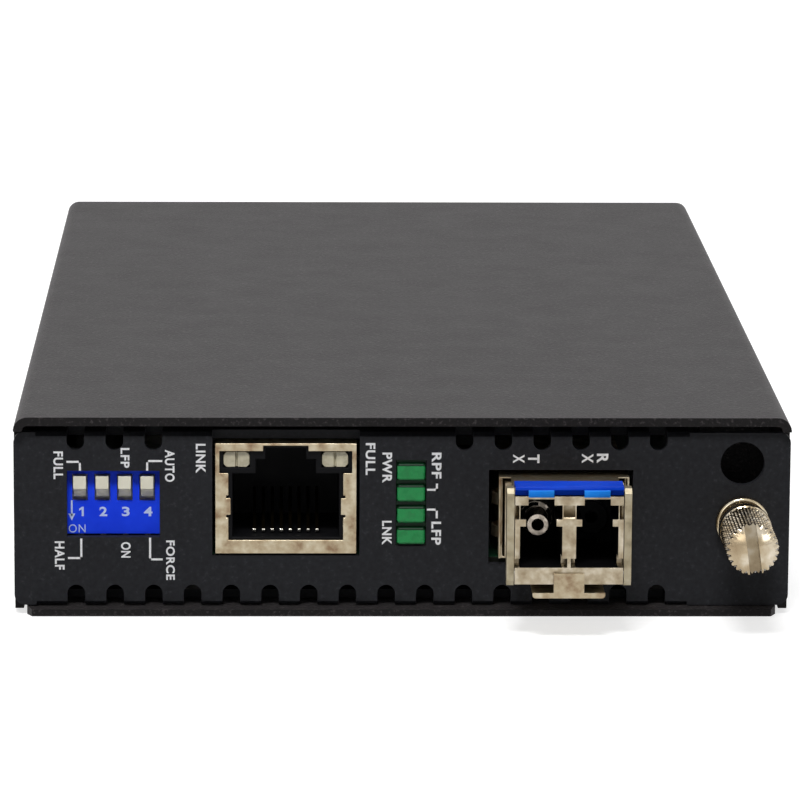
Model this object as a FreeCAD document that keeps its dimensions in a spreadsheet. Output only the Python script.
"""Fibre media converter: a slide-in converter card in a folded sheet-metal sleeve.

Units are millimetres.  X runs across the front panel, Y runs back into the case and Z is up.
The model's origin is the middle of the case's bottom face.  Inside this file every piece is
drawn in panel coordinates, where y = 0 is the outer face of the front panel, and its
Placement then carries it back by half the depth of the case.
"""
import FreeCAD
import Part
import Sketcher
import math
import os
from types import SimpleNamespace

from FreeCAD import Vector

# ---------------------------------------------------------------------------------------
# Driving dimensions.  Every entry is a cell of the spreadsheet "size" under the same alias.
# ---------------------------------------------------------------------------------------
DIMENSIONS = {
    # folded sleeve
    "case_width": 88.0, "case_depth": 155.0, "case_height": 23.0, "sheet": 1.0,
    "bend_outside": 1.6, "lip_overhang": 1.0, "cover_gap": 0.1, "tray_lip_half": 42.0,
    "tray_lip_chamfer": 1.2, "tray_side_height": 16.0, "wall_front": 1.3,
    "cover_wall_foot": 0.4, "guide_tab_reach": 2.2, "guide_tab_length": 12.0,
    "guide_tab_first": 22.0, "guide_tab_span": 96.0, "guide_clearance": 0.1,
    "case_screw_depth": 112.0, "case_screw_height": 11.0,
    "rear_vent_pitch": 8.8, "rear_vent_first": -6.0, "rear_vent_foot": 6.0,
    "rear_vent_top": 16.0,
    # machine screws of the cover and the board
    "screw_radius": 1.5, "screw_hole_radius": 1.6, "countersink": 0.85,
    "flat_head_radius": 2.4, "flat_head_height": 0.9, "pan_head_radius": 2.45,
    "pan_head_height": 1.6, "cross_half": 1.5, "cross_width": 0.5, "cross_depth": 0.45,
    # screw ear of the sleeve, its press nut and the captive thumbscrew
    "ear_front": 7.2, "ear_left": 34.2, "ear_foot": 7.7, "ear_top": 20.4,
    "thumb_x": 38.6, "thumb_z": 10.8, "nut_collar_radius": 2.1, "nut_radius": 2.8,
    "nut_length": 2.3, "ferrule_radius": 3.08, "ferrule_shank_radius": 2.4,
    "ferrule_front": 1.5, "ferrule_bore_radius": 1.6, "knob_radius": 3.02,
    "knob_length": 13.45, "knob_neck": 0.6, "knob_step": 0.35, "knob_gap": 0.05,
    "thread_radius": 1.48, "thread_end": 10.4, "serration_half": 0.36,
    "nut_bore_radius": 1.55, "groove_radius": 1.15, "clip_front": 5.6, "clip_width": 0.5,
    "clip_radius": 2.9, "driver_slot_width": 1.35, "driver_slot_depth": 1.4,
    "serration_depth": 0.28,
    # front panel
    "panel_foot": 1.1, "panel_top": 21.1, "panel_bend_ease": 0.45, "panel_corner": 1.2,
    "flange_left": -41.5, "flange_right": 32.5, "flange_reach": 12.0,
    "vent_pitch": 4.4, "vent_first": -37.0,
    "vent_width": 2.0, "vent_rise": 2.35, "vent_drop": 2.1, "vent_back": 3.6,
    "dip_window_left": -38.0, "dip_window_right": -27.5, "dip_window_foot": 9.0,
    "dip_window_top": 16.65, "jack_window_left": -21.55, "jack_window_right": -4.85,
    "jack_window_foot": 6.8, "led_window_left": -0.75, "led_window_right": 2.7,
    "led_window_foot": 8.0, "led_window_top": 17.95, "sfp_window_left": 9.8,
    "sfp_window_right": 26.15, "sfp_window_foot": 5.9, "sfp_window_top": 16.8,
    "panel_hole_x": 38.56, "panel_hole_z": 17.55, "panel_hole_radius": 2.5,
    # circuit board
    "board_foot": 4.8, "board_thick": 1.6, "board_half": 41.3, "board_front": 1.4,
    "board_rear": 152.9, "board_screw_depth": 8.0, "board_screw_left": -24.05,
    "board_screw_right": 29.5, "standoff_radius": 2.6, "board_notch_half": 4.6,
    # eight-way copper jack
    "jack_middle": -13.22, "jack_half": 8.02, "jack_foot": 7.05, "jack_top": 19.8,
    "jack_front": 0.2, "jack_depth": 21.5, "shield_sheet": 0.3, "jack_rim": 1.53,
    "jack_sill": 8.6, "jack_shoulder": 16.35, "jack_brow": 18.88, "jack_brow_half": 2.55,
    "jack_thin_rim": 0.52, "plug_half": 6.05, "plug_depth": 12.7, "latch_step": 17.9,
    "latch_wide_half": 3.4, "latch_narrow_half": 2.3, "latch_top": 19.2,
    "jack_led_inner": 4.1, "jack_led_outer": 7.06, "jack_led_foot": 16.97,
    "jack_led_top": 18.78, "jack_led_depth": 4.0, "contact_pitch": 1.02,
    # option switch
    "dip_middle": -32.75, "dip_half": 5.87, "dip_foot": 9.1, "dip_top": 17.6,
    "dip_front": 1.2, "dip_depth": 6.2, "lever_pitch": 2.54, "lever_width": 1.46,
    "wing_reach": 0.3, "wing_slack": 0.08, "lever_top": 15.95, "lever_height": 1.45,
    "lever_travel": 1.45, "lever_proud": 1.0,
    "dip_skin": 0.45, "lever_slack": 0.14, "lever_foot_gap": 0.3,
    # status lamps
    "led_left": -0.62, "led_width": 3.2, "led_height": 1.95, "led_pitch": 2.47,
    "led_first": 8.23, "led_front": -0.35, "led_length": 5.2, "led_holder_front": 0.25,
    "led_holder_rear": 7.4,
    # pluggable-module cage
    "sfp_middle": 18.3, "cage_half": 7.15, "cage_foot": 6.42, "cage_top": 15.95,
    "cage_sheet": 0.25, "cage_front": 0.6, "cage_rear": 47.9, "collar_front": -0.7,
    "collar_back": 2.0, "collar_sheet": 0.2, "finger_width": 1.3, "finger_radius": 2.5,
    "host_front": 38.3, "host_rear": 46.8, "host_top": 13.2, "host_half": 5.8,
    # optical module
    "sfp_half": 6.7, "sfp_foot": 7.08, "sfp_top": 15.58, "sfp_rear": 37.5,
    "nose_half": 6.05, "nose_foot": 6.3, "nose_top": 16.3, "nose_front": -12.0,
    "nose_rear": -1.5, "port_pitch": 6.25, "port_half": 2.35, "port_foot": 8.2,
    "port_top": 15.3, "port_depth": 13.0, "port_latch_half": 1.45, "port_latch_top": 16.0,
    "rib_foot": 12.9, "rib_top": 13.7, "rib_reach": 0.65, "rib_length": 5.0, "optic_height": 11.33,
    "optic_hole": 1.9, "optic_nose_radius": 1.25, "optic_bore_radius": 0.65,
    "bail_pivot_y": -10.8, "bail_pivot_z": 7.25, "bail_pin_radius": 0.5,
    "arm_inner": 6.13, "arm_outer": 6.96, "arm_top": 17.15, "arm_front": -12.0,
    "arm_back": -9.6, "bar_foot": 16.7, "bar_top": 17.1, "bar_front": -11.4,
    "bar_back": -10.6, "grip_foot": 16.45, "grip_top": 17.45, "grip_front": -12.4,
    "grip_back": -8.6, "grip_round": 0.45, "latch_pivot_y": -3.0, "latch_pivot_z": 7.1,
    "latch_pin_radius": 0.4, "latch_half": 4.05, "latch_sheet": 0.45,
    "latch_front": -12.65, "latch_lip_foot": 4.85, "latch_lip_top": 5.45, "latch_high": 7.12,
    "latch_lip_round": 0.35, "latch_step_front": -4.9, "latch_end": 9.4, "latch_tab_half": 1.7,
    "latch_tab_top": 7.65, "latch_barrel_half": 3.6, "latch_barrel_radius": 0.78,
    "catch_front": 6.9, "catch_back": 9.2, "catch_foot": 6.78, "catch_tip_half": 0.35,
    "catch_half": 1.2,
    # low-voltage inlet at the rear
    "inlet_x": -26.0, "inlet_half": 4.5, "inlet_front": 139.4, "inlet_rear": 153.6,
    "inlet_top": 17.4, "inlet_axis": 12.9, "inlet_bore_radius": 3.15,
    "inlet_bore_depth": 9.5, "inlet_pin_radius": 1.0, "inlet_window_radius": 4.0,
}

doc = FreeCAD.newDocument("fibre_media_converter")
sheet = doc.addObject("Spreadsheet::Sheet", "size")
for row, (alias, number) in enumerate(DIMENSIONS.items(), start=1):
    sheet.set("A%d" % row, alias)
    sheet.set("B%d" % row, str(number))
    sheet.setAlias("B%d" % row, alias)
doc.recompute()


class Size:
    """A length that knows both its number and the spreadsheet expression that gives it."""

    def __init__(self, value, text=None):
        self.value = float(value)
        self.text = text or "%.6g" % value

    def __add__(self, other):
        other = as_size(other)
        return Size(self.value + other.value, "(%s + %s)" % (self.text, other.text))

    def __sub__(self, other):
        other = as_size(other)
        return Size(self.value - other.value, "(%s - (%s))" % (self.text, other.text))

    def __mul__(self, other):
        other = as_size(other)
        return Size(self.value * other.value, "(%s * %s)" % (self.text, other.text))

    def __truediv__(self, other):
        other = as_size(other)
        return Size(self.value / other.value, "(%s / %s)" % (self.text, other.text))

    def __neg__(self):
        return Size(0) - self

    def __radd__(self, other):
        return as_size(other) + self

    def __rsub__(self, other):
        return as_size(other) - self

    def __rmul__(self, other):
        return as_size(other) * self


def as_size(value):
    return value if isinstance(value, Size) else Size(value)


def rising(first, second):
    """Two lengths as sizes, the smaller one first."""
    first, second = as_size(first), as_size(second)
    return (first, second) if first.value < second.value else (second, first)


def mirrored(middle, points):
    """An outline's left half, followed by its mirror image about u = middle."""
    return points + [(2 * middle - u, v) for u, v in reversed(points)]


d = SimpleNamespace(**{name: Size(number, "size." + name) for name, number in DIMENSIONS.items()})

case_half = d.case_width / 2
panel_half = case_half
tray_half = case_half - d.sheet - d.cover_gap
cover_inside_top = d.case_height - d.sheet
board_top = d.board_foot + d.board_thick
tray_rear = d.case_depth - d.cover_gap

# every finished piece, under the name of its file
pieces = {}

# where each primitive starts in panel coordinates
starts = {}


# ---------------------------------------------------------------------------------------
# Small modelling helpers
# ---------------------------------------------------------------------------------------
def bind(obj, prop, size):
    """Set a property from the spreadsheet, so that it follows the driving dimensions."""
    obj.setExpression(prop, as_size(size).text)


def box(name, low, high):
    """A Part box between two corners."""
    solid = doc.addObject("Part::Box", name)
    for prop, start, end in zip(("Length", "Width", "Height"), low, high):
        bind(solid, prop, as_size(end) - start)
    for axis, start in zip("xyz", low):
        bind(solid, "Placement.Base.%s" % axis, start)
    starts[solid.Name] = low
    return solid


def rod(name, axis, centre, start, length, radius):
    """A Part cylinder along X, Y or Z whose axis crosses `centre` in the other two."""
    solid = doc.addObject("Part::Cylinder", name)
    bind(solid, "Radius", radius)
    bind(solid, "Height", length)
    turns = {
        "x": FreeCAD.Rotation(Vector(0, 1, 0), 90),
        "y": FreeCAD.Rotation(Vector(1, 0, 0), -90),
        "z": FreeCAD.Rotation(),
    }
    solid.Placement = FreeCAD.Placement(Vector(), turns[axis])
    base = dict(zip([other for other in "xyz" if other != axis], centre))
    base[axis] = start
    for way in "xyz":
        bind(solid, "Placement.Base.%s" % way, base[way])
    starts[solid.Name] = (base["x"], base["y"], base["z"])
    return solid


def hexagon(name, centre, start, length, radius):
    """An upright six-sided prism; `radius` is to its corners."""
    solid = doc.addObject("Part::Prism", name)
    solid.Polygon = 6
    bind(solid, "Circumradius", radius)
    bind(solid, "Height", length)
    for way, place in zip("xyz", (centre[0], centre[1], start)):
        bind(solid, "Placement.Base.%s" % way, place)
    return solid


def cut(name, base, tools):
    """Take one or several tools away from a base."""
    result = doc.addObject("Part::Cut", name)
    result.Base = base
    result.Tool = tools[0] if len(tools) == 1 else fuse(name + "_tools", tools)
    return result


def fuse(name, solids):
    result = doc.addObject("Part::MultiFuse", name)
    result.Shapes = solids
    return result


def group(name, solids):
    """Separate like solids that share one node."""
    result = doc.addObject("Part::Compound", name)
    result.Links = solids
    return result


def finish(obj, label, place=(0, 0, 0)):
    """Name a finished piece and carry it from panel coordinates to the model's frame."""
    obj.Label = label
    x, y, z = starts.get(obj.Name, place)
    bind(obj, "Placement.Base.x", x)
    bind(obj, "Placement.Base.y", as_size(y) - d.case_depth / 2)
    bind(obj, "Placement.Base.z", z)
    pieces[label] = obj
    return obj


NORMAL = {"XY": 1, "XZ": -1, "YZ": 1}


def new_body(name):
    return doc.addObject("PartDesign::Body", name)


def origin_feature(body, role):
    for feature in body.Origin.OriginFeatures:
        if feature.Role == role:
            return feature
    raise ValueError(role)


def new_sketch(body, plane, offset, name):
    """A sketch parallel to an origin plane, at `offset` along the third axis."""
    sketch = body.newObject("Sketcher::SketchObject", name)
    sketch.AttachmentSupport = [(origin_feature(body, plane + "_Plane"), "")]
    sketch.MapMode = "FlatFace"
    bind(sketch, "AttachmentOffset.Base.z", as_size(offset) * NORMAL[plane])
    return sketch


def pin_point(sketch, geometry, end, point):
    """Tie one point of a sketch to the origin by two driven distances."""
    for kind, value in zip(("DistanceX", "DistanceY"), point):
        size = as_size(value)
        index = sketch.addConstraint(
            Sketcher.Constraint(kind, -1, 1, geometry, end, size.value))
        sketch.renameConstraint(index, "%s_%d_%d" % (kind, geometry, end))
        bind(sketch, "Constraints[%d]" % index, size)


def polygon(sketch, points):
    """A closed outline of straight edges through the given points."""
    flat = [Vector(as_size(u).value, as_size(v).value, 0) for u, v in points]
    first = sketch.GeometryCount
    count = len(flat)
    for index in range(count):
        sketch.addGeometry(Part.LineSegment(flat[index], flat[(index + 1) % count]), False)
    for index in range(count):
        following = first + (index + 1) % count
        sketch.addConstraint(
            Sketcher.Constraint("Coincident", first + index, 2, following, 1))
    for index, point in enumerate(points):
        pin_point(sketch, first + index, 1, point)


def rectangle(sketch, low, high):
    polygon(sketch, [(low[0], low[1]), (high[0], low[1]), (high[0], high[1]),
                     (low[0], high[1])])


def circle(sketch, centre, radius):
    size = as_size(radius)
    middle = Vector(as_size(centre[0]).value, as_size(centre[1]).value, 0)
    index = sketch.addGeometry(Part.Circle(middle, Vector(0, 0, 1), size.value), False)
    pin_point(sketch, index, 3, centre)
    constraint = sketch.addConstraint(Sketcher.Constraint("Radius", index, size.value))
    bind(sketch, "Constraints[%d]" % constraint, size)


def arch(sketch, middle, foot, crown, width):
    """An upright slot, square at `foot` and eased at `crown`, which may be above or below."""
    left, right = middle - width / 2, middle + width / 2
    ease = width * 0.3
    spring = crown - ease if crown.value > foot.value else crown + ease
    polygon(sketch, [(left, foot), (right, foot), (right, spring), (right - ease, crown),
                     (left + ease, crown), (left, spring)])


def pad(body, sketch, length, name):
    """Add material from the sketch towards the positive axis."""
    feature = body.newObject("PartDesign::Pad", name)
    feature.Profile = sketch
    feature.Reversed = NORMAL[sketch_plane(sketch)] < 0
    bind(feature, "Length", length)
    return feature


def pocket(body, sketch, length, name):
    """Take material away from the sketch towards the positive axis."""
    feature = body.newObject("PartDesign::Pocket", name)
    feature.Profile = sketch
    feature.Reversed = NORMAL[sketch_plane(sketch)] > 0
    bind(feature, "Length", length)
    return feature


def sketch_plane(sketch):
    return sketch.AttachmentSupport[0][0].Role[:2]


def repeat(body, features, axis, span, count, name):
    """A straight pattern along one of the body's own axes."""
    pattern = body.newObject("PartDesign::LinearPattern", name)
    pattern.Originals = features
    pattern.Direction = (origin_feature(body, axis + "_Axis"), [""])
    bind(pattern, "Length", span)
    pattern.Occurrences = count
    body.Tip = pattern
    return pattern


def edges_where(feature, test):
    """Names of the straight or round edges of a feature that pass a test."""
    doc.recompute()
    return ["Edge%d" % (index + 1) for index, edge in enumerate(feature.Shape.Edges)
            if test(edge)]


def dress(body, feature, kind, edges, size, name):
    """Fillet or chamfer the named edges of a feature."""
    result = body.newObject("PartDesign::" + kind, name)
    result.Base = (feature, edges)
    bind(result, "Radius" if kind == "Fillet" else "Size", size)
    body.Tip = result
    return result


def runs_along(edge, axis, shortest=0.0):
    """True for a straight edge parallel to an axis and longer than `shortest`."""
    if len(edge.Vertexes) != 2 or not isinstance(edge.Curve, Part.Line):
        return False
    span = edge.Vertexes[1].Point - edge.Vertexes[0].Point
    return abs(abs(span.dot(axis)) - span.Length) < 1e-6 and span.Length > shortest


def near(value, target, tolerance=0.02):
    return abs(value - as_size(target).value) < tolerance


X_AXIS, Y_AXIS, Z_AXIS = Vector(1, 0, 0), Vector(0, 1, 0), Vector(0, 0, 1)


# ---------------------------------------------------------------------------------------
# The folded sleeve
# ---------------------------------------------------------------------------------------
def make_top_cover():
    """Top and both side walls, one folded sheet; its front edge overhangs the panel."""
    body = new_body("TopCover")
    front = -d.lip_overhang
    outline = new_sketch(body, "XZ", front, "CoverSection")
    inner = case_half - d.sheet
    polygon(outline, [
        (-case_half, d.cover_wall_foot), (-inner, d.cover_wall_foot),
        (-inner, cover_inside_top), (inner, cover_inside_top),
        (inner, d.cover_wall_foot), (case_half, d.cover_wall_foot),
        (case_half, d.case_height), (-case_half, d.case_height)])
    fold = pad(body, outline, d.case_depth + d.lip_overhang, "CoverFold")
    outer = edges_where(fold, lambda e: runs_along(e, Y_AXIS, 100)
                        and near(e.Vertexes[0].Z, d.case_height))
    bent = dress(body, fold, "Fillet", outer, d.bend_outside, "CoverOuterBend")
    inner_edges = edges_where(bent, lambda e: runs_along(e, Y_AXIS, 100)
                              and near(e.Vertexes[0].Z, cover_inside_top)
                              and near(abs(e.Vertexes[0].X), inner))
    bent = dress(body, bent, "Fillet", inner_edges, d.bend_outside - d.sheet,
                 "CoverInnerBend")
    relief = new_sketch(body, "XZ", front - d.sheet, "WallRelief")
    for side in (-1, 1):
        near_edge, far_edge = rising(side * (case_half - 2 * d.sheet), side * (case_half + 2))
        rectangle(relief, (near_edge, -d.sheet), (far_edge, d.panel_top + 0.25))
    pocket(body, relief, d.sheet + d.lip_overhang + d.wall_front, "WallReliefCut")
    holes = new_sketch(body, "YZ", -case_half - d.sheet, "ScrewHoles")
    circle(holes, (d.case_screw_depth, d.case_screw_height), d.screw_hole_radius)
    drilled = pocket(body, holes, d.case_width + 2 * d.sheet, "ScrewHoleCut")
    rims = edges_where(drilled, lambda e: isinstance(e.Curve, Part.Circle)
                       and near(e.Curve.Radius, d.screw_hole_radius)
                       and near(abs(e.Curve.Center.x), case_half))
    dress(body, drilled, "Chamfer", rims, d.countersink, "Countersinks")
    return finish(body, "top_cover")


def make_base_tray():
    """Bottom, low side flanges, rear wall, card guides and screw ear: one folded sheet."""
    body = new_body("BaseTray")
    section = new_sketch(body, "XZ", d.wall_front, "TraySection")
    inner = tray_half - d.sheet
    polygon(section, [
        (-tray_half, 0), (tray_half, 0), (tray_half, d.tray_side_height),
        (inner, d.tray_side_height), (inner, d.sheet), (-inner, d.sheet),
        (-inner, d.tray_side_height), (-tray_half, d.tray_side_height)])
    fold = pad(body, section, tray_rear - d.wall_front, "TrayFold")
    outer = edges_where(fold, lambda e: runs_along(e, Y_AXIS, 100)
                        and near(e.Vertexes[0].Z, 0))
    bent = dress(body, fold, "Fillet", outer, d.bend_outside, "TrayOuterBend")
    inner_edges = edges_where(bent, lambda e: runs_along(e, Y_AXIS, 100)
                              and near(e.Vertexes[0].Z, d.sheet)
                              and near(abs(e.Vertexes[0].X), inner))
    dress(body, bent, "Fillet", inner_edges, d.bend_outside - d.sheet, "TrayInnerBend")

    lip = new_sketch(body, "XY", 0, "FrontLip")
    half, front, cut_back = d.tray_lip_half, -d.lip_overhang, d.tray_lip_chamfer
    polygon(lip, [
        (-half, front + cut_back), (cut_back - half, front), (half - cut_back, front),
        (half, front + cut_back), (half, d.wall_front + d.sheet),
        (-half, d.wall_front + d.sheet)])
    pad(body, lip, d.sheet, "FrontLipPad")

    rear = new_sketch(body, "XZ", tray_rear - d.sheet, "RearWall")
    rectangle(rear, (-inner - 0.5, 0.5), (inner + 0.5, cover_inside_top - d.cover_gap))
    pad(body, rear, d.sheet, "RearWallPad")

    tabs = new_sketch(body, "XZ", d.guide_tab_first, "GuideTabs")
    for foot in (d.board_foot - d.guide_clearance - d.sheet, board_top + d.guide_clearance):
        for side in (-1, 1):
            low, high = rising(side * (inner - d.guide_tab_reach), side * (inner + 0.4))
            rectangle(tabs, (low, foot), (high, foot + d.sheet))
    tab_pad = pad(body, tabs, d.guide_tab_length, "GuideTabPad")
    repeat(body, [tab_pad], "Y", d.guide_tab_span, 3, "GuideTabRow")

    ear = new_sketch(body, "XZ", d.ear_front, "ScrewEar")
    rectangle(ear, (d.ear_left, d.ear_foot), (inner + 0.4, d.ear_top))
    pad(body, ear, d.sheet, "ScrewEarPad")
    ear_hole = new_sketch(body, "XZ", d.ear_front - 1, "NutHole")
    circle(ear_hole, (d.thumb_x, d.thumb_z), d.nut_collar_radius)
    pocket(body, ear_hole, d.sheet + 2, "NutHoleCut")

    side_holes = new_sketch(body, "YZ", -case_half - d.sheet, "ScrewHoles")
    circle(side_holes, (d.case_screw_depth, d.case_screw_height), d.screw_radius)
    pocket(body, side_holes, d.case_width + 2 * d.sheet, "ScrewHoleCut")

    inlet = new_sketch(body, "XZ", tray_rear - 2 * d.sheet, "InletWindow")
    circle(inlet, (d.inlet_x, d.inlet_axis), d.inlet_window_radius)
    pocket(body, inlet, d.sheet * 3, "InletWindowCut")
    vent = new_sketch(body, "XZ", tray_rear - 2 * d.sheet, "RearVent")
    rectangle(vent, (d.rear_vent_first - d.vent_width / 2, d.rear_vent_foot),
              (d.rear_vent_first + d.vent_width / 2, d.rear_vent_top))
    slot = pocket(body, vent, d.sheet * 3, "RearVentCut")
    repeat(body, [slot], "X", d.rear_vent_pitch * 4, 5, "RearVentRow")
    return finish(body, "base_tray")


def make_press_nut():
    """Round press-in nut that the thumbscrew's thread turns into."""
    back = d.ear_front + d.sheet
    collar = rod("NutCollar", "y", (d.thumb_x, d.thumb_z), d.ear_front, d.sheet,
                 d.nut_collar_radius)
    drum = rod("NutDrum", "y", (d.thumb_x, d.thumb_z), back, d.nut_length, d.nut_radius)
    bore = rod("NutBore", "y", (d.thumb_x, d.thumb_z), d.ear_front - 1, d.nut_length + 3,
               d.nut_bore_radius)
    return finish(cut("PressNut", fuse("NutBlank", [collar, drum]), [bore]), "press_nut")


def make_cover_screws():
    """Two countersunk cross-head screws that hold the cover to the tray's flanges."""
    screws = []
    shank_inner = tray_half - d.sheet - 1.2
    shank_outer = case_half - d.flat_head_height
    depth = d.case_screw_depth
    for side, tag in ((-1, "CoverScrewLeft"), (1, "CoverScrewRight")):
        profile = doc.addObject("Part::Cone", tag + "Head")
        bind(profile, "Radius1", d.flat_head_radius)
        bind(profile, "Radius2", d.screw_radius)
        bind(profile, "Height", d.flat_head_height)
        turn = FreeCAD.Rotation(Y_AXIS, -90 * side)
        profile.Placement = FreeCAD.Placement(Vector(), turn)
        bind(profile, "Placement.Base.x", side * (case_half - 0.05))
        bind(profile, "Placement.Base.y", depth)
        bind(profile, "Placement.Base.z", d.case_screw_height)
        start, _ = rising(side * shank_inner, side * shank_outer)
        shank = rod(tag + "Shank", "x", (depth, d.case_screw_height), start,
                    shank_outer - shank_inner, d.screw_radius)
        low, high = rising(side * (case_half - d.cross_depth), side * (case_half + 1))
        cross = []
        for arm, (along, upright) in enumerate((
                (d.cross_half, d.cross_width / 2), (d.cross_width / 2, d.cross_half))):
            cross.append(box(tag + "Cross%d" % arm,
                             (low, depth - along, d.case_screw_height - upright),
                             (high, depth + along, d.case_screw_height + upright)))
        screws.append(cut(tag, fuse(tag + "Blank", [profile, shank]), cross))
    return finish(group("CoverScrews", screws), "cover_screws")


# ---------------------------------------------------------------------------------------
# The card: front panel and board
# ---------------------------------------------------------------------------------------
def make_front_panel():
    """Panel with its two bent-back flanges, vent slots across the bends and cut-outs."""
    body = new_body("FrontPanel")
    fold = new_sketch(body, "YZ", d.flange_left, "PanelFold")
    inner_foot, inner_top = d.panel_foot + d.sheet, d.panel_top - d.sheet
    polygon(fold, [
        (0, d.panel_foot), (d.flange_reach, d.panel_foot), (d.flange_reach, inner_foot),
        (d.sheet, inner_foot), (d.sheet, inner_top), (d.flange_reach, inner_top),
        (d.flange_reach, d.panel_top), (0, d.panel_top)])
    folded = pad(body, fold, d.flange_right - d.flange_left, "PanelFoldPad")
    bends = edges_where(folded, lambda e: runs_along(e, X_AXIS, 70)
                        and near(e.Vertexes[0].Y, 0))
    dress(body, folded, "Chamfer", bends, d.panel_bend_ease, "FlangeBends")
    face = new_sketch(body, "XZ", 0, "PanelEnds")
    rectangle(face, (-panel_half, d.panel_foot), (d.flange_left, d.panel_top))
    rectangle(face, (d.flange_right, d.panel_foot), (panel_half, d.panel_top))
    ends = pad(body, face, d.sheet, "PanelEndPads")
    corners = edges_where(ends, lambda e: runs_along(e, Y_AXIS, 0.5)
                          and near(abs(e.Vertexes[0].X), panel_half))
    dress(body, ends, "Fillet", corners, d.panel_corner, "PanelCorners")

    def vent_cut(tag, edge_z, first, count, upward):
        """One slot over a bend, round at its end on the face, then a row of them."""
        way = 1 if upward else -1
        end = edge_z + way * (d.vent_rise if upward else d.vent_drop)
        start = new_sketch(body, "XZ", -0.5, tag + "Face")
        arch(start, first, edge_z - way, end, d.vent_width)
        through = pocket(body, start, d.sheet + 0.5, tag + "FaceCut")
        low, high = rising(edge_z - way * 0.5, edge_z + way * (d.sheet + 0.1))
        flange = new_sketch(body, "XY", low, tag + "Flange")
        rectangle(flange, (first - d.vent_width / 2, -0.5),
                  (first + d.vent_width / 2, d.vent_back))
        beneath = pocket(body, flange, high - low, tag + "FlangeCut")
        repeat(body, [through, beneath], "X", d.vent_pitch * (count - 1), count, tag + "Row")

    vent_cut("LowerVent", d.panel_foot, d.vent_first, 16, True)
    vent_cut("UpperVentLeft", d.panel_top, d.vent_first, 3, False)
    vent_cut("UpperVentRight", d.panel_top, d.vent_first + 10 * d.vent_pitch, 6, False)

    windows = new_sketch(body, "XZ", -0.5, "Windows")
    rectangle(windows, (d.dip_window_left, d.dip_window_foot),
              (d.dip_window_right, d.dip_window_top))
    rectangle(windows, (d.led_window_left, d.led_window_foot),
              (d.led_window_right, d.led_window_top))
    rectangle(windows, (d.sfp_window_left, d.sfp_window_foot),
              (d.sfp_window_right, d.sfp_window_top))
    circle(windows, (d.panel_hole_x, d.panel_hole_z), d.panel_hole_radius)
    circle(windows, (d.thumb_x, d.thumb_z), d.ferrule_shank_radius)
    pocket(body, windows, d.sheet + 1.0, "WindowCuts")
    jack = new_sketch(body, "XZ", -0.5, "JackWindow")
    rectangle(jack, (d.jack_window_left, d.jack_window_foot),
              (d.jack_window_right, d.panel_top + 0.5))
    pocket(body, jack, d.sheet + 1.1, "JackWindowCut")
    return finish(body, "front_panel")


def make_circuit_board():
    """The glass-fibre board, with its screw holes and a relief under the cage's flap."""
    body = new_body("CircuitBoard")
    outline = new_sketch(body, "XY", d.board_foot, "BoardOutline")
    left, right = d.sfp_middle - d.board_notch_half, d.sfp_middle + d.board_notch_half
    polygon(outline, [
        (-d.board_half, d.board_front), (left, d.board_front), (left, d.flange_reach),
        (right, d.flange_reach), (right, d.board_front), (d.board_half, d.board_front),
        (d.board_half, d.board_rear), (-d.board_half, d.board_rear)])
    pad(body, outline, d.board_thick, "BoardPad")
    holes = new_sketch(body, "XY", d.board_foot - 1, "BoardHoles")
    for across in (d.board_screw_left, d.board_screw_right):
        circle(holes, (across, d.board_screw_depth), d.screw_hole_radius)
    pocket(body, holes, d.board_thick + 2, "BoardHoleCut")
    return finish(body, "circuit_board")


def make_board_fixings():
    """Hexagonal standoffs swaged into the lower flange, and the pan-head screws above."""
    standoffs, screws = [], []
    foot = d.panel_foot + d.sheet
    columns = (d.board_screw_left, d.board_screw_right)
    depth, long_half, thin_half = d.board_screw_depth, d.cross_half, d.cross_width / 2
    cross_foot = board_top + d.pan_head_height - 2 * d.cross_depth
    for index, across in enumerate(columns, start=1):
        tag = "Standoff%d" % index
        centre = (across, depth)
        post = hexagon(tag + "Post", centre, foot, d.board_foot - foot, d.standoff_radius)
        bore = rod(tag + "Bore", "z", centre, foot - 1, d.board_foot - foot + 2,
                   d.screw_radius)
        standoffs.append(cut(tag, post, [bore]))
        tag = "BoardScrew%d" % index
        head = rod(tag + "Head", "z", centre, board_top, d.pan_head_height,
                   d.pan_head_radius)
        stem = rod(tag + "Stem", "z", centre, foot + 0.3, board_top - foot - 0.3,
                   d.screw_radius)
        cross = [box(tag + "CrossA", (across - long_half, depth - thin_half, cross_foot),
                     (across + long_half, depth + thin_half, board_top + 2)),
                 box(tag + "CrossB", (across - thin_half, depth - long_half, cross_foot),
                     (across + thin_half, depth + long_half, board_top + 2))]
        screws.append(cut(tag, fuse(tag + "Blank", [head, stem]), cross))
    finish(group("Standoffs", standoffs), "board_standoffs")
    return finish(group("BoardScrews", screws), "board_screws")


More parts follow.
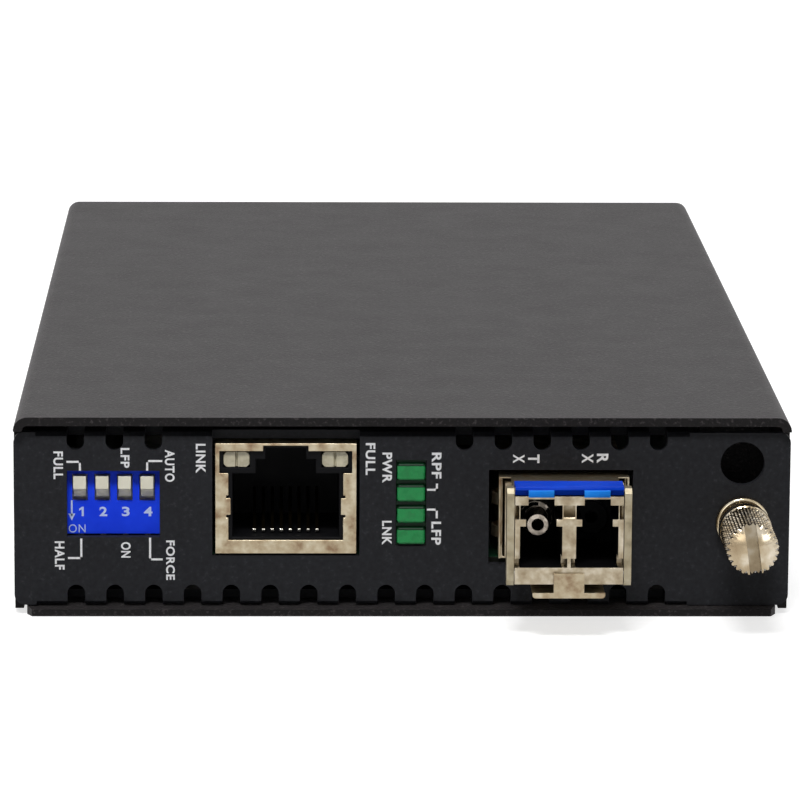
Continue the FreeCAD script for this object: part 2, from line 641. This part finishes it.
# ---------------------------------------------------------------------------------------
# Eight-way copper jack
# ---------------------------------------------------------------------------------------
def make_jack_shield():
    """Tinned shell: thin walls, a framed front with lamp windows and a latch notch."""
    body = new_body("JackShield")
    left, right = d.jack_middle - d.jack_half, d.jack_middle + d.jack_half
    shell = new_sketch(body, "XZ", d.jack_front, "ShellOutline")
    rectangle(shell, (left, d.jack_foot), (right, d.jack_top))
    pad(body, shell, d.jack_depth, "ShellPad")
    hollow = new_sketch(body, "XY", d.jack_foot - 1, "ShellHollow")
    rectangle(hollow, (left + d.shield_sheet, d.jack_front + d.shield_sheet),
              (right - d.shield_sheet, d.jack_front + d.jack_depth - d.shield_sheet))
    pocket(body, hollow, d.jack_top - d.jack_foot - d.shield_sheet + 1, "ShellHollowCut")
    front = new_sketch(body, "XZ", d.jack_front - 0.5, "ShellOpening")
    bulge = bite = 0.25
    low, high, step = 11.5, 13.45, 0.3
    inner = left + d.jack_rim
    polygon(front, mirrored(d.jack_middle, [
        (inner, d.jack_sill), (inner, low - step), (inner - bite, low - step),
        (inner - bite, low), (inner + bulge, low), (inner + bulge, high),
        (inner - bite, high), (inner - bite, high + step), (inner, high + step),
        (inner, d.jack_shoulder), (left + d.jack_thin_rim, d.jack_shoulder),
        (left + d.jack_thin_rim, d.jack_brow), (d.jack_middle - d.jack_brow_half, d.jack_brow),
        (d.jack_middle - d.jack_brow_half, d.jack_top - d.shield_sheet)]))
    pocket(body, front, d.shield_sheet + 0.6, "ShellOpeningCut")
    return finish(body, "jack_shield")


def make_jack_housing():
    """Black moulding inside the shell, with the plug cavity and two lamp pockets."""
    body = new_body("JackHousing")
    front = d.jack_front + d.shield_sheet + 0.05
    half = d.jack_half - d.shield_sheet - 0.05
    block = new_sketch(body, "XZ", front, "HousingOutline")
    top = d.jack_top - d.shield_sheet - 0.05
    rectangle(block, (d.jack_middle - half, d.jack_foot), (d.jack_middle + half, top))
    pad(body, block, d.jack_depth - 2 * d.shield_sheet - 0.1, "HousingPad")
    feet = new_sketch(body, "XY", board_top, "HousingFeet")
    for side in (-1, 1):
        rectangle(feet, (d.jack_middle + side * 5.5 - 1.0, 4.0),
                  (d.jack_middle + side * 5.5 + 1.0, 18.0))
    pad(body, feet, d.jack_foot - board_top + 0.1, "HousingFeetPad")
    cavity = new_sketch(body, "XZ", front - 1, "PlugCavity")
    middle = d.jack_middle
    polygon(cavity, mirrored(middle, [
        (middle - d.plug_half, d.jack_sill + 0.3), (middle - d.plug_half, d.jack_shoulder - 0.1),
        (middle - d.latch_wide_half, d.jack_shoulder - 0.1),
        (middle - d.latch_wide_half, d.latch_step),
        (middle - d.latch_narrow_half, d.latch_step),
        (middle - d.latch_narrow_half, d.latch_top)]))
    pocket(body, cavity, d.plug_depth + 1, "PlugCavityCut")
    pockets = new_sketch(body, "XZ", front - 1, "LampPockets")
    for side in (-1, 1):
        low, high = rising(middle + side * (d.jack_led_inner - 0.03),
                           middle + side * (d.jack_led_outer + 0.03))
        rectangle(pockets, (low, d.jack_led_foot - 0.03), (high, d.jack_led_top + 0.03))
    pocket(body, pockets, d.jack_led_depth + 1.03, "LampPocketCut")
    return finish(body, "jack_housing")


def make_jack_lamps():
    """Two milky lamps, each with a groove between its pair of dice."""
    front = d.jack_front + d.shield_sheet + 0.1
    for side, name in ((-1, "left"), (1, "right")):
        tag = "JackLamp" + name.title()
        low, high = rising(d.jack_middle + side * d.jack_led_inner,
                           d.jack_middle + side * d.jack_led_outer)
        middle = (low + high) / 2
        block = box(tag + "Block", (low, front, d.jack_led_foot),
                    (high, front + d.jack_led_depth - 0.1, d.jack_led_top))
        groove = box(tag + "Groove", (middle - 0.12, front - 1, d.jack_led_foot - 1),
                     (middle + 0.12, front + 0.35, d.jack_led_top + 1))
        rounded = doc.addObject("Part::Chamfer", tag + "Bevel")
        lamp = cut(tag + "Cut", block, [groove])
        doc.recompute()
        rims = [(index + 1, 0.35, 0.35) for index, edge in enumerate(lamp.Shape.Edges)
                if runs_along(edge, Y_AXIS, 1.0)]
        rounded.Base = lamp
        rounded.Edges = rims
        finish(rounded, "jack_lamp_" + name)


def make_jack_contacts():
    """Eight gilt spring wires rising from the mouth of the jack towards its back."""
    wires = []
    slope, half, thick, length = 21.0, 0.2, 0.35, 9.0
    for index in range(8):
        wire = doc.addObject("Part::Box", "Contact%d" % (index + 1))
        bind(wire, "Length", 2 * half)
        bind(wire, "Width", length)
        bind(wire, "Height", thick)
        wire.Placement = FreeCAD.Placement(Vector(), FreeCAD.Rotation(X_AXIS, slope))
        across = d.jack_middle + (index - 3.5) * d.contact_pitch - half
        bind(wire, "Placement.Base.x", across)
        bind(wire, "Placement.Base.y", d.jack_front + 2.2)
        bind(wire, "Placement.Base.z", d.jack_sill + 0.5)
        wires.append(wire)
    return finish(group("JackContacts", wires), "jack_contacts")


# ---------------------------------------------------------------------------------------
# Option switch and status lamps
# ---------------------------------------------------------------------------------------
def lever_middle(index):
    return d.dip_middle + (index - 1.5) * d.lever_pitch


def make_option_switch():
    """Blue body with four windowed channels; a lever runs in each."""
    low = (d.dip_middle - d.dip_half, d.dip_front, d.dip_foot)
    high = (d.dip_middle + d.dip_half, d.dip_front + d.dip_depth, d.dip_top)
    block = box("SwitchBlock", low, high)
    tools = []
    half = d.lever_width / 2
    floor = d.lever_top - d.lever_height - d.lever_travel
    channel = half + d.wing_reach + d.wing_slack
    for index in range(4):
        x = lever_middle(index)
        tools.append(box("SwitchWindow%d" % (index + 1),
                         (x - half - d.lever_slack, d.dip_front - 1, floor - 0.1),
                         (x + half + d.lever_slack, d.dip_front + d.dip_skin + 0.1,
                          d.lever_top + 0.1)))
        tools.append(box("SwitchChannel%d" % (index + 1),
                         (x - channel, d.dip_front + d.dip_skin,
                          floor - 1.4 - d.lever_travel),
                         (x + channel, d.dip_front + d.dip_skin + 2.0,
                          d.lever_top + 0.2)))
    finish(cut("SwitchBody", block, tools), "option_switch_body")

    for index in range(4):
        x = lever_middle(index)
        tag = "Lever%d" % (index + 1)
        nub = box(tag + "Nub",
                  (x - half, d.dip_front - d.lever_proud, d.lever_top - d.lever_height),
                  (x + half, d.dip_front + d.dip_skin + 0.5, d.lever_top))
        behind = d.dip_front + d.dip_skin + 0.08
        slide = box(tag + "Slide", (x - half, behind, floor + d.lever_foot_gap),
                    (x + half, behind + 0.8, d.lever_top + 0.1))
        wings = box(tag + "Wings", (x - half - d.wing_reach, behind + 0.7, floor - 1.3),
                    (x + half + d.wing_reach, behind + 1.7, d.lever_top + 0.1))
        finish(fuse(tag, [nub, slide, wings]), "option_lever_%d" % (index + 1))

    pins = []
    for index in range(4):
        x = lever_middle(index)
        for row, depth in enumerate((1.6, 4.6)):
            y = d.dip_front + depth
            pins.append(box("SwitchPin%d_%d" % (index + 1, row),
                            (x - 0.25, y, board_top), (x + 0.25, y + 0.3, d.dip_foot)))
    return finish(group("SwitchPins", pins), "option_switch_pins")


def lamp_foot(index):
    return d.led_first + index * d.led_pitch


def make_status_lamps():
    """Four green lamps stacked in a black spacer, with their leads bent to the board."""
    right = d.led_left + d.led_width
    for index in range(4):
        tag = "StatusLamp%d" % (index + 1)
        foot = lamp_foot(3 - index)
        face = box(tag + "Face", (d.led_left, d.led_front, foot),
                   (right, d.led_front + d.led_length, foot + d.led_height))
        finish(face, "status_lamp_%d" % (index + 1))
    holder = box("HolderBlock",
                 (d.led_window_left + 0.05, d.led_holder_front, board_top),
                 (d.led_window_right - 0.05, d.led_holder_rear,
                  d.led_window_top - 0.05))
    tools = [box("HolderFoot", (d.led_window_left - 1, d.led_holder_front - 1, board_top - 1),
                 (d.led_window_right + 1, d.sheet + 0.3, d.led_window_foot + 0.05))]
    rear = d.led_front + d.led_length + 0.02
    for index in range(4):
        foot = lamp_foot(index)
        tools.append(box("HolderPocket%d" % index,
                         (d.led_left - 0.02, d.led_holder_front - 1, foot - 0.02),
                         (right + 0.02, rear, foot + d.led_height + 0.02)))
    finish(cut("LampHolder", holder, tools), "status_lamp_holder")
    wires = []
    for index in range(4):
        z = lamp_foot(index) + d.led_height / 2
        y = d.led_holder_rear + 0.9 + 1.1 * index
        for side in (-1, 1):
            x = d.led_left + d.led_width / 2 + side * 1.0
            run = box("LeadRun%d%d" % (index, side + 1), (x - 0.2, d.led_holder_rear, z - 0.2),
                      (x + 0.2, y + 0.2, z + 0.2))
            drop = box("LeadDrop%d%d" % (index, side + 1), (x - 0.2, y - 0.2, board_top),
                       (x + 0.2, y + 0.2, z))
            wires.append(fuse("Lead%d%d" % (index, side + 1), [run, drop]))
    return finish(group("LampLeads", wires), "status_lamp_leads")


# ---------------------------------------------------------------------------------------
# Cage for the pluggable optical module
# ---------------------------------------------------------------------------------------
def make_module_cage():
    """Thin folded cage: open mouth, sprung flap with its catch hole, cooling holes."""
    body = new_body("ModuleCage")
    c, half, skin = d.sfp_middle, d.cage_half, d.cage_sheet
    outer = new_sketch(body, "XZ", d.cage_front, "CageOutline")
    rectangle(outer, (c - half, d.cage_foot), (c + half, d.cage_top))
    pad(body, outer, d.cage_rear - d.cage_front, "CagePad")
    inner = new_sketch(body, "XZ", d.cage_front - 1, "CageHollow")
    rectangle(inner, (c - half + skin, d.cage_foot + skin), (c + half - skin,
                                                             d.cage_top - skin))
    pocket(body, inner, d.cage_rear - d.cage_front + 1 - skin, "CageHollowCut")
    under = new_sketch(body, "XY", d.cage_foot - 1, "CageUnderside")
    rectangle(under, (c - half + skin, d.host_front - 0.5), (c + half - skin,
                                                            d.cage_rear - skin))
    flap, slit, flap_end = 4.4, 0.4, 10.6
    for side in (-1, 1):
        low, high = rising(c + side * flap, c + side * (flap + slit))
        rectangle(under, (low, d.cage_front - 1), (high, flap_end))
    rectangle(under, (c - 1.5, 6.6), (c + 1.5, 9.6))
    pocket(body, under, skin + 1.2, "CageUndersideCut")
    holes = new_sketch(body, "XY", d.cage_top - 1, "CoolingHole")
    circle(holes, (c, 18), 1.0)
    hole = pocket(body, holes, 2, "CoolingHoleCut")
    repeat(body, [hole], "Y", 14, 3, "CoolingHoles")
    return finish(body, "module_cage")


def spring_finger(tag, axis, side, face, along, bulge):
    """One curved grounding finger that stands `bulge` proud of a cage wall."""
    radius, skin, width = d.finger_radius, d.collar_sheet, d.finger_width
    depth = 2.2
    centre = face - side * (radius - bulge)
    other = "z" if axis == "x" else "x"
    place = (centre, depth) if other == "z" else (depth, centre)
    start = along - width / 2
    ring = rod(tag + "Outer", other, place, start, width, radius)
    core = rod(tag + "Inner", other, place, start - 1, width + 2, radius - skin)
    arc = cut(tag + "Arc", ring, [core])
    low, high = (face - 4, face) if side < 0 else (face, face + 4)
    corners = {"x": ((low, depth - 3, start - 1), (high, depth + 3, start + width + 1)),
               "z": ((start - 1, depth - 3, low), (start + width + 1, depth + 3, high))}
    finger = doc.addObject("Part::Common", tag)
    finger.Base = arc
    finger.Tool = box(tag + "Trim", *corners[axis])
    return finger


def make_cage_fingers():
    """Grounding collar round the mouth of the cage with its row of sprung fingers."""
    c, half, skin = d.sfp_middle, d.cage_half + 0.02, d.collar_sheet
    foot, top = d.cage_foot - 0.02, d.cage_top + 0.02
    front, back = d.collar_front, d.collar_back
    blank = box("CollarBlank", (c - half - skin, front, foot + 0.3),
                (c + half + skin, back, top + skin))
    hollow = box("CollarHollow", (c - half, front - 1, foot - 1), (c + half, back + 1, top))
    parts = [cut("Collar", blank, [hollow])]
    for index, z in enumerate((9.5, 13.3), start=1):
        parts.append(spring_finger("FingerLeft%d" % index, "x", -1, c - half, as_size(z),
                                   as_size(0.95)))
        parts.append(spring_finger("FingerRight%d" % index, "x", 1, c + half, as_size(z),
                                   as_size(0.75)))
    for index, offset in enumerate((-3.95, 0, 3.95), start=1):
        parts.append(spring_finger("FingerTop%d" % index, "z", 1, top, c + offset,
                                   as_size(0.45)))
    return finish(fuse("CageFingers", parts), "module_cage_fingers")


def make_host_connector():
    """Twenty-way edge socket on the board, inside the back of the cage."""
    c = d.sfp_middle
    block = box("HostBlock", (c - d.host_half, d.host_front, board_top),
                (c + d.host_half, d.host_rear, d.host_top))
    slot = box("HostSlot", (c - 4.75, d.host_front - 1, 10.3), (c + 4.75, 44.0, 11.5))
    return finish(cut("HostConnector", block, [slot]), "module_host_connector")


# ---------------------------------------------------------------------------------------
# The pluggable optical module
# ---------------------------------------------------------------------------------------
def make_module_shell():
    """Die-cast shell: two ribbed fibre sockets in a taller nose, board bay behind."""
    body = new_body("ModuleShell")
    c = d.sfp_middle
    rear = new_sketch(body, "XZ", d.nose_rear, "ShellRear")
    rectangle(rear, (c - d.sfp_half, d.sfp_foot), (c + d.sfp_half, d.sfp_top))
    pad(body, rear, d.sfp_rear - d.nose_rear, "ShellRearPad")
    nose = new_sketch(body, "XZ", d.nose_front, "ShellNose")
    rectangle(nose, (c - d.nose_half, d.nose_foot), (c + d.nose_half, d.nose_top))
    pad(body, nose, d.nose_rear - d.nose_front, "ShellNosePad")

    def socket_outline(sketch, rib):
        """One outline for each fibre plug: latch notch above, a guide rib on each side."""
        for side in (-1, 1):
            middle, half = c + side * d.port_pitch / 2, d.port_half
            guide = [] if rib is None else [
                (half, d.rib_foot), (half - rib, d.rib_foot), (half - rib, d.rib_top),
                (half, d.rib_top)]
            right_side = [(half, d.port_foot)] + guide + [
                (half, d.port_top), (d.port_latch_half, d.port_top),
                (d.port_latch_half, d.port_latch_top)]
            polygon(sketch, [(middle + u, v) for u, v in right_side]
                    + [(middle - u, v) for u, v in reversed(right_side)])

    mouths = new_sketch(body, "XZ", d.nose_front - 1, "SocketMouths")
    socket_outline(mouths, d.rib_reach)
    pocket(body, mouths, d.rib_length + 1, "SocketMouthCut")
    sockets = new_sketch(body, "XZ", d.nose_front + d.rib_length - 0.1, "FibreSockets")
    socket_outline(sockets, None)
    pocket(body, sockets, d.port_depth - d.rib_length + 0.1, "FibreSocketCut")

    bores = new_sketch(body, "XZ", 0, "OpticBores")
    for side in (-1, 1):
        circle(bores, (c + side * d.port_pitch / 2, d.optic_height), d.optic_hole)
    pocket(body, bores, 3, "OpticBoreCut")

    bay = new_sketch(body, "XZ", d.sfp_rear - 35.5, "BoardBay")
    rectangle(bay, (c - 6.2, 8.9), (c + 6.2, 15.1))
    pocket(body, bay, 40, "BoardBayCut")

    channel = new_sketch(body, "XZ", -5.7, "LatchChannel")
    rectangle(channel, (c - d.latch_half - 0.3, d.nose_foot - 1),
              (c + d.latch_half + 0.3, 8.0))
    pocket(body, channel, 6.7, "LatchChannelCut")
    slot = new_sketch(body, "XZ", 0.9, "LatchSlot")
    rectangle(slot, (c - d.latch_half - 0.3, d.nose_foot - 1),
              (c + d.latch_half + 0.3, 8.6))
    pocket(body, slot, 9.6, "LatchSlotCut")

    pins = new_sketch(body, "YZ", c - 10, "PinBores")
    circle(pins, (d.bail_pivot_y, d.bail_pivot_z), d.bail_pin_radius)
    circle(pins, (d.latch_pivot_y, d.latch_pivot_z), d.latch_pin_radius)
    pocket(body, pins, 20, "PinBoreCut")
    return finish(body, "module_shell")


def make_module_insides():
    """Edge-contact board and the two optical assemblies behind the fibre sockets."""
    c = d.sfp_middle
    wide = box("ModuleBoardWide", (c - 5.9, 9.0, 10.4), (c + 5.9, 36.5, 11.4))
    tongue = box("ModuleBoardTongue", (c - 4.6, 36.0, 10.4), (c + 4.6, 43.5, 11.4))
    finish(fuse("ModuleBoard", [wide, tongue]), "module_board")
    for name, side, tip in (("transmit", -1, -4.0), ("receive", 1, 0.3)):
        tag = name.title()
        centre = (c + side * d.port_pitch / 2, d.optic_height)
        nose = rod(tag + "Nose", "y", centre, tip, 1.2 - tip, d.optic_nose_radius)
        barrel = rod(tag + "Barrel", "y", centre, 0.0, 7.65, d.optic_hole - 0.02)
        bore = rod(tag + "Bore", "y", centre, tip - 1, 5.0, d.optic_bore_radius)
        blank = fuse(tag + "Blank", [nose, barrel])
        finish(cut(tag + "Optic", blank, [bore]), "module_%s_optic" % name)


def make_bail():
    """Sheet-metal bail: two arms, a crossbar, and the pin it swings on."""
    body = new_body("ModuleBail")
    c = d.sfp_middle
    foot = d.bail_pivot_z - 1.15
    for side in (-1, 1):
        start = c - d.arm_outer if side < 0 else c + d.arm_inner
        arm = new_sketch(body, "YZ", start, "ArmLeft" if side < 0 else "ArmRight")
        polygon(arm, [
            (d.arm_front + 0.5, foot), (d.arm_back - 0.5, foot),
            (d.arm_back, foot + 0.6), (d.arm_back, d.arm_top - 0.5),
            (d.arm_back - 0.5, d.arm_top), (d.arm_front + 0.5, d.arm_top),
            (d.arm_front, d.arm_top - 0.5), (d.arm_front, foot + 0.6)])
        pad(body, arm, d.arm_outer - d.arm_inner,
            "ArmPadLeft" if side < 0 else "ArmPadRight")
        if side < 0:
            bar = new_sketch(body, "YZ", c - d.arm_inner - 0.2, "Crossbar")
            rectangle(bar, (d.bar_front, d.bar_foot), (d.bar_back, d.bar_top))
            pad(body, bar, 2 * d.arm_inner + 0.4, "CrossbarPad")
    pivots = new_sketch(body, "YZ", c - 10, "BailPivots")
    circle(pivots, (d.bail_pivot_y, d.bail_pivot_z), d.bail_pin_radius + 0.05)
    pocket(body, pivots, 20, "BailPivotCut")
    finish(body, "module_bail")
    half = d.arm_outer
    pin = rod("BailPin", "x", (d.bail_pivot_y, d.bail_pivot_z), c - half, 2 * half,
              d.bail_pin_radius)
    finish(pin, "module_bail_pin")


def make_bail_grip():
    """Coloured plastic grip moulded over the bail's crossbar, with two finger lips."""
    body = new_body("BailGrip")
    c, half = d.sfp_middle, d.arm_inner - 0.1
    section = new_sketch(body, "YZ", c - half, "GripSection")
    rectangle(section, (d.grip_front, d.grip_foot), (d.grip_back, d.grip_top))
    bar = pad(body, section, 2 * half, "GripPad")
    rims = edges_where(bar, lambda e: runs_along(e, X_AXIS, 5))
    dress(body, bar, "Fillet", rims, d.grip_round, "GripRound")
    lips = new_sketch(body, "XZ", d.grip_front - 0.35, "GripLips")
    for low, high in ((-4.6, -1.75), (1.6, 4.5)):
        rectangle(lips, (c + low, d.grip_foot - 0.1), (c + high, d.grip_foot + 0.65))
    pad(body, lips, 1.0, "GripLipPad")
    hollow = new_sketch(body, "YZ", c - half - 1, "GripBore")
    rectangle(hollow, (d.bar_front, d.bar_foot), (d.bar_back, d.bar_top))
    pocket(body, hollow, 2 * half + 2, "GripBoreCut")
    return finish(body, "module_bail_grip")


def make_latch():
    """Rocking latch under the module: curled lip, front tab, rolled pivot, catch."""
    body = new_body("ModuleLatch")
    c, skin = d.sfp_middle, d.latch_sheet
    plate = new_sketch(body, "YZ", c - d.latch_half, "LatchSection")
    front, inside = d.latch_front, d.latch_front + skin
    foot, high, step = d.latch_lip_foot, d.latch_high, d.latch_step_front
    lip_top = d.latch_lip_top
    polygon(plate, [
        (front, foot), (step, foot), (step + 1.2, high), (d.latch_end, high),
        (d.latch_end, high + skin), (step + 0.9, high + skin),
        (step - 0.3, foot + skin), (inside, foot + skin), (inside, lip_top),
        (front, lip_top)])
    sheet_pad = pad(body, plate, 2 * d.latch_half, "LatchPad")
    corners = edges_where(sheet_pad, lambda e: runs_along(e, Y_AXIS, 0.2)
                          and near(e.Vertexes[0].Z, foot))
    dress(body, sheet_pad, "Fillet", corners, d.latch_lip_round, "LipCorners")
    tab = new_sketch(body, "XZ", front, "FrontTab")
    rectangle(tab, (c - d.latch_tab_half, lip_top - 0.3),
              (c + d.latch_tab_half, d.latch_tab_top))
    pad(body, tab, skin, "FrontTabPad")
    barrel = new_sketch(body, "YZ", c - d.latch_barrel_half, "LatchBarrel")
    circle(barrel, (d.latch_pivot_y, d.latch_pivot_z), d.latch_barrel_radius)
    pad(body, barrel, 2 * d.latch_barrel_half, "LatchBarrelPad")
    catch = new_sketch(body, "XY", d.catch_foot, "Catch")
    polygon(catch, [
        (c - d.catch_tip_half, d.catch_front), (c + d.catch_tip_half, d.catch_front),
        (c + d.catch_half, d.catch_back), (c - d.catch_half, d.catch_back)])
    pad(body, catch, high + 0.1 - d.catch_foot, "CatchPad")
    bore = new_sketch(body, "YZ", c - 6, "LatchBore")
    circle(bore, (d.latch_pivot_y, d.latch_pivot_z), d.latch_pin_radius + 0.05)
    pocket(body, bore, 12, "LatchBoreCut")
    finish(body, "module_latch")
    half = d.nose_half - 0.05
    pin = rod("LatchPin", "x", (d.latch_pivot_y, d.latch_pivot_z), c - half, 2 * half,
              d.latch_pin_radius)
    finish(pin, "module_latch_pin")


# ---------------------------------------------------------------------------------------
# Captive thumbscrew
# ---------------------------------------------------------------------------------------
def make_thumbscrew():
    """Turned screw: serrated knob with a driver slot, then a grooved threaded stem."""
    body = new_body("Thumbscrew")
    profile = new_sketch(body, "XY", 0, "ScrewProfile")
    start = -d.ferrule_front - d.knob_gap - d.knob_length
    shoulder = -d.ferrule_front - d.knob_gap
    neck, neck_radius = shoulder - d.knob_neck, d.knob_radius - d.knob_step
    groove_back = d.clip_front + d.clip_width + 0.05
    polygon(profile, [
        (0, start), (d.knob_radius, start), (d.knob_radius, neck), (neck_radius, neck),
        (neck_radius, shoulder), (d.thread_radius, shoulder),
        (d.thread_radius, d.clip_front - 0.05), (d.groove_radius, d.clip_front - 0.05),
        (d.groove_radius, groove_back), (d.thread_radius, groove_back),
        (d.thread_radius, d.thread_end), (0, d.thread_end)])
    turned = body.newObject("PartDesign::Revolution", "TurnedBlank")
    turned.Profile = profile
    turned.ReferenceAxis = (profile, ["V_Axis"])
    turned.Angle = 360
    tooth = new_sketch(body, "XZ", start - 1, "Serration")
    mouth = d.knob_radius + d.serration_depth
    polygon(tooth, [
        (mouth, -d.serration_half), (mouth, d.serration_half),
        (d.knob_radius - d.serration_depth, 0)])
    notch = pocket(body, tooth, d.knob_length + 1 - d.knob_neck, "SerrationCut")
    teeth = body.newObject("PartDesign::PolarPattern", "Serrations")
    teeth.Originals = [notch]
    teeth.Axis = (origin_feature(body, "Y_Axis"), [""])
    teeth.Angle = 360
    teeth.Occurrences = 22
    body.Tip = teeth
    slot = new_sketch(body, "XZ", start - 1, "DriverSlot")
    rectangle(slot, (-d.driver_slot_width / 2, -4), (d.driver_slot_width / 2, 4))
    pocket(body, slot, d.driver_slot_depth + 1, "DriverSlotCut")
    return finish(body, "thumbscrew", (d.thumb_x, 0, d.thumb_z))


def make_thumbscrew_fittings():
    """Pressed ferrule in the panel, and the spring clip that keeps the screw captive."""
    centre = (d.thumb_x, d.thumb_z)
    flange = rod("FerruleFlange", "y", centre, -d.ferrule_front, d.ferrule_front,
                 d.ferrule_radius)
    shank = rod("FerruleShank", "y", centre, 0, d.sheet + 0.3, d.ferrule_shank_radius)
    bore = rod("FerruleBore", "y", centre, -3, 6, d.ferrule_bore_radius)
    ferrule = cut("Ferrule", fuse("FerruleBlank", [flange, shank]), [bore])
    finish(ferrule, "screw_ferrule")
    ring = rod("ClipRing", "y", centre, d.clip_front, d.clip_width, d.clip_radius)
    hole = rod("ClipHole", "y", centre, d.clip_front - 1, 3, d.groove_radius + 0.06)
    mouth = box("ClipMouth", (d.thumb_x - 0.8, d.clip_front - 1, d.thumb_z - 4),
                (d.thumb_x + 0.8, d.clip_front + 2, d.thumb_z))
    finish(cut("RetainingClip", ring, [hole, mouth]), "screw_retaining_clip")


# ---------------------------------------------------------------------------------------
# Low-voltage inlet and the parts on the board
# ---------------------------------------------------------------------------------------
def make_inlet():
    """Barrel inlet at the back edge of the board, with its centre pin."""
    left, right = d.inlet_x - d.inlet_half, d.inlet_x + d.inlet_half
    block = box("InletBlock", (left, d.inlet_front, board_top),
                (right, d.inlet_rear, d.inlet_top - 1.5))
    crown = rod("InletCrown", "y", (d.inlet_x, d.inlet_axis), d.inlet_rear - 3.4, 3.4,
                d.inlet_half)
    bore = rod("InletBore", "y", (d.inlet_x, d.inlet_axis),
               d.inlet_rear - d.inlet_bore_depth, d.inlet_bore_depth + 1,
               d.inlet_bore_radius)
    finish(cut("InletBody", fuse("InletBlank", [block, crown]), [bore]), "power_inlet_body")
    pin = rod("InletPin", "y", (d.inlet_x, d.inlet_axis),
              d.inlet_rear - d.inlet_bore_depth, d.inlet_bore_depth - 0.6,
              d.inlet_pin_radius)
    finish(pin, "power_inlet_pin")


def on_board(name, middle, span, height, lift=0.0):
    """A block standing on the board: `middle` and `span` are across and along."""
    return box(name, (middle[0] - span[0] / 2, middle[1] - span[1] / 2, board_top + lift),
               (middle[0] + span[0] / 2, middle[1] + span[1] / 2, board_top + lift + height))


def make_chip(name, middle, span, height, legs, leg_pitch, four_sided=True):
    """A moulded chip and its row of gull-wing legs as two nodes."""
    tag = name.title().replace("_", "")
    finish(on_board(tag + "Body", middle, span, height, 0.15), name)
    wires = []
    sides = (0, 1, 2, 3) if four_sided else (0, 2)
    reach = 1.0
    for side in sides:
        across = side % 2 == 0
        sign = 1 if side < 2 else -1
        for index in range(legs):
            shift = (index - (legs - 1) / 2) * leg_pitch
            edge = sign * (span[0] if across else span[1]) / 2
            centre = edge + sign * reach / 2
            spot = (middle[0] + centre, middle[1] + shift) if across else (
                middle[0] + shift, middle[1] + centre)
            size = (reach, leg_pitch * 0.45) if across else (leg_pitch * 0.45, reach)
            wires.append(on_board("%sLeg%d_%d" % (tag, side, index), spot, size, 0.4))
    return finish(group(tag + "Legs", wires), name + "_legs")


def make_board_parts():
    """Converter and line chips, magnetics, crystal, and the power stage."""
    make_chip("converter_chip", (1.0, 66.0), (20.0, 20.0), 1.6, 7, 2.4)
    make_chip("line_chip", (-13.0, 45.0), (10.0, 10.0), 1.2, 4, 2.0)
    make_chip("magnetics_module", (-13.2, 30.0), (14.0, 7.0), 5.4, 6, 2.0, False)
    make_chip("memory_chip", (24.0, 62.0), (4.0, 5.0), 1.5, 4, 1.27, False)

    can = on_board("CrystalCan", (-27.0, 60.0), (10.8, 4.4), 3.4)
    finish(can, "crystal")
    can = rod("CapacitorCan", "z", (-6.0, 130.0), board_top, 11.0, 4.5)
    finish(can, "electrolytic_capacitor")
    core = on_board("InductorCore", (12.0, 130.0), (7.4, 7.4), 4.2)
    finish(core, "power_inductor")
    body = on_board("RegulatorBody", (24.0, 130.0), (6.6, 6.0), 2.3)
    tab = on_board("RegulatorTab", (24.0, 134.4), (5.4, 3.2), 0.6)
    finish(fuse("Regulator", [body, tab]), "voltage_regulator")

    resistors = []
    for column, across in enumerate((-36.0, 33.0)):
        for index in range(6):
            resistors.append(on_board("Resistor%d_%d" % (column, index),
                                      (across, 34.0 + 3.4 * index), (1.6, 0.8), 0.5))
    finish(group("Resistors", resistors), "chip_resistors")
    chips = []
    for index in range(8):
        angle = 2 * math.pi * index / 8
        spot = (1.0 + 15.5 * math.cos(angle), 66.0 + 15.5 * math.sin(angle))
        chips.append(on_board("ChipCapacitor%d" % index, spot, (2.0, 1.25), 0.9))
    finish(group("ChipCapacitors", chips), "chip_capacitors")


# ---------------------------------------------------------------------------------------
# Build, check and write every piece
# ---------------------------------------------------------------------------------------
MAKERS = (
    make_top_cover, make_base_tray, make_press_nut, make_cover_screws, make_front_panel,
    make_circuit_board, make_board_fixings, make_jack_shield, make_jack_housing,
    make_jack_lamps, make_jack_contacts, make_option_switch, make_status_lamps,
    make_module_cage, make_cage_fingers, make_host_connector, make_module_shell,
    make_module_insides, make_bail, make_bail_grip, make_latch, make_thumbscrew,
    make_thumbscrew_fittings, make_inlet, make_board_parts,
)

for make in MAKERS:
    make()
doc.recompute()

for obj in doc.Objects:
    if "Invalid" in obj.State or "Error" in obj.State:
        raise RuntimeError("%s (%s) failed: %s" % (obj.Name, obj.Label, obj.State))

os.makedirs("parts", exist_ok=True)
for label, obj in pieces.items():
    shape = obj.Shape
    if shape.isNull() or not shape.isValid():
        raise RuntimeError(label + " has no valid shape")
    shape.exportStep(os.path.join("parts", label + ".step"))
    print("%-26s %8.1f mm3  %d solid(s)" % (label, shape.Volume, len(shape.Solids)))
print(len(pieces), "pieces")
